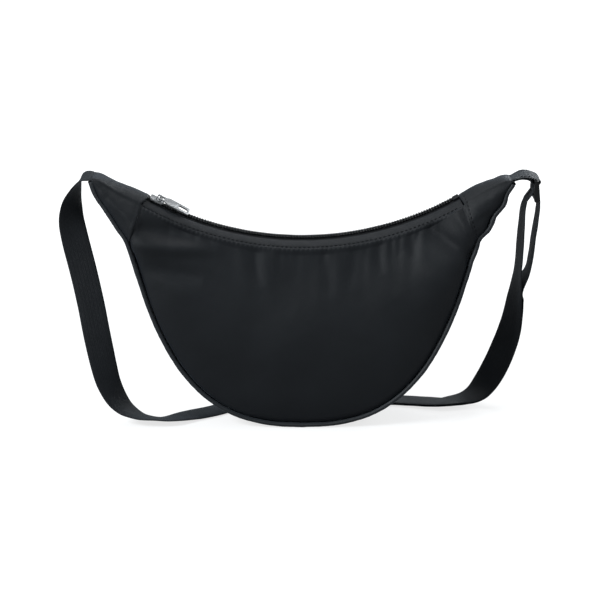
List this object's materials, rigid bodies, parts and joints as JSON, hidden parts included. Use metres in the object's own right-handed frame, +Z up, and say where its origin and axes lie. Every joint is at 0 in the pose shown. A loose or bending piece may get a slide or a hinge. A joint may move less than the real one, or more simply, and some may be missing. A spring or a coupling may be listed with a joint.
{
  "type": "half moon shoulder bag",
  "caption": "Soft half moon shoulder bag with a curved zip along its top, piped edges, a gusset and a webbing strap with a ladder adjuster.",
  "frame": {"origin": "middle of the flat patch that the bag stands on, under the middle of the gusset", "axes": "+Z up, X along the bag with its slider end at -X and its adjuster at +X, -Y the front that the picture shows"},
  "size_m": [0.4371, 0.1095, 0.2325],
  "materials": {
    "shell_fabric": "fine weave, slight sheen",
    "gusset_fabric": "fine weave, slight sheen",
    "piping_fabric": "fine weave over a cord",
    "zip_tape": "woven tape",
    "zip_teeth": "satin",
    "zip_metal": "polished, slightly worn",
    "lining_fabric": "plain weave",
    "strap_webbing": "ribbed webbing",
    "tab_webbing": "ribbed webbing",
    "adjuster_plastic": "satin"
  },
  "bodies": {
    "bag": {"front_panel": "shell_fabric", "back_panel": "shell_fabric", "gusset": "gusset_fabric", "front_piping": "piping_fabric", "back_piping": "piping_fabric", "left_ear": "shell_fabric", "right_ear": "shell_fabric", "front_facing": "shell_fabric", "back_facing": "shell_fabric", "front_tape": "zip_tape", "back_tape": "zip_tape", "front_teeth": "zip_teeth", "back_teeth": "zip_teeth", "left_zip_stop": "zip_metal", "right_zip_stop": "zip_metal", "front_lining": "lining_fabric", "back_lining": "lining_fabric", "shoulder_strap": "strap_webbing", "adjuster_tab": "tab_webbing"},
    "slider": {"zip_slider": "zip_metal"},
    "pull": {"zip_pull": "zip_metal"},
    "adjuster": {"strap_adjuster": "adjuster_plastic"}
  },
  "joints": [
    {"name": "zip_slide", "type": "hinge", "parent": "bag", "child": "slider", "pos_m": [0, 0, 0.4549], "axis": [0, -1, 0], "range_deg": [0, 55], "deforming": ["front_teeth", "back_teeth"]},
    {"name": "pull_swing", "type": "hinge", "parent": "slider", "child": "pull", "pos_m": [-0.12845, -0.00138, 0.20892], "axis": [-0.0976, -0.9781, -0.1836], "range_deg": [0, 160]},
    {"name": "adjuster_swing", "type": "hinge", "parent": "bag", "child": "adjuster", "pos_m": [0.2107, 0, 0.2251], "axis": [0, 1, 0], "range_deg": [-25, 25], "deforming": ["shoulder_strap"]}
  ]
}
